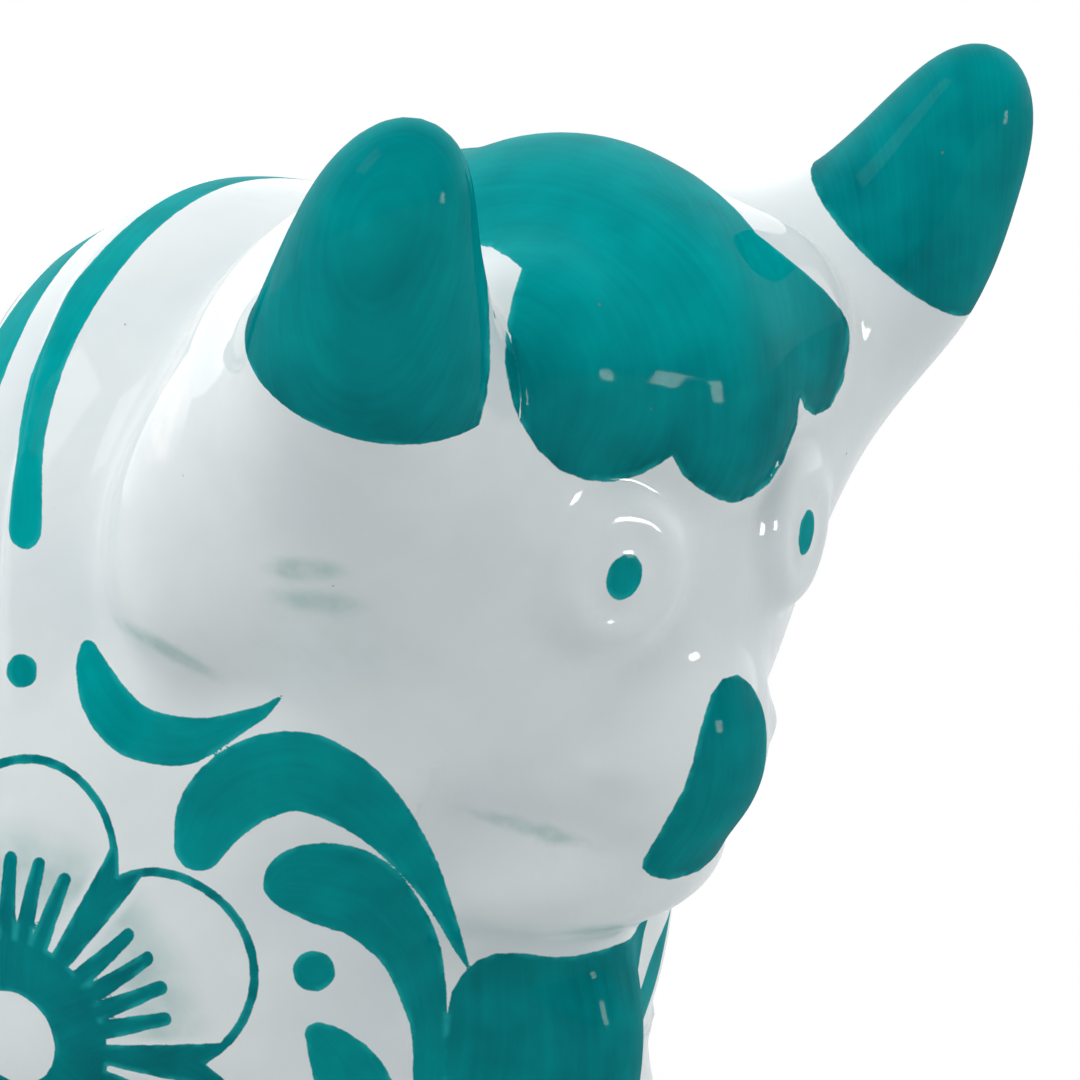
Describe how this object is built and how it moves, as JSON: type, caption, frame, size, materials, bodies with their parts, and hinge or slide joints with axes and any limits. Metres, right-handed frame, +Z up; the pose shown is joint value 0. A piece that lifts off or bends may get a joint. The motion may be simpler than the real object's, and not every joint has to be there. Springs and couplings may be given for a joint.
{
  "type": "pucara bull",
  "caption": "Hollow glazed ceramic bull figure with swept horns, curled forelock, stump legs, grip on the back and filling hole, painted with flowers and commas.",
  "frame": {"origin": "on the ground under the middle of the bounding box", "axes": "+Z up, the bull looks along -Y, its left side is +X"},
  "size_m": [0.0986, 0.1889, 0.1739],
  "materials": {
    "white_glaze": "glossy clear glaze over white slip",
    "teal_paint": "brushed teal underglaze colour under the glossy glaze"
  },
  "bodies": {
    "root": {"body_right": "white_glaze", "body_left": "white_glaze", "head": "white_glaze", "horn_right": "teal_paint", "horn_left": "teal_paint", "ear_right": "white_glaze", "ear_left": "white_glaze", "eye_right": "white_glaze", "eye_left": "white_glaze", "forelock_crown": "teal_paint", "forelock_middle": "teal_paint", "forelock_right": "teal_paint", "forelock_left": "teal_paint", "dewlap": "teal_paint", "neck_fold_front": "white_glaze", "neck_fold_rear": "white_glaze", "leg_front_right": "white_glaze", "leg_front_left": "white_glaze", "leg_hind_right": "white_glaze", "leg_hind_left": "white_glaze", "tail": "white_glaze", "handle": "teal_paint", "filling_mouth": "teal_paint"}
  },
  "joints": []
}
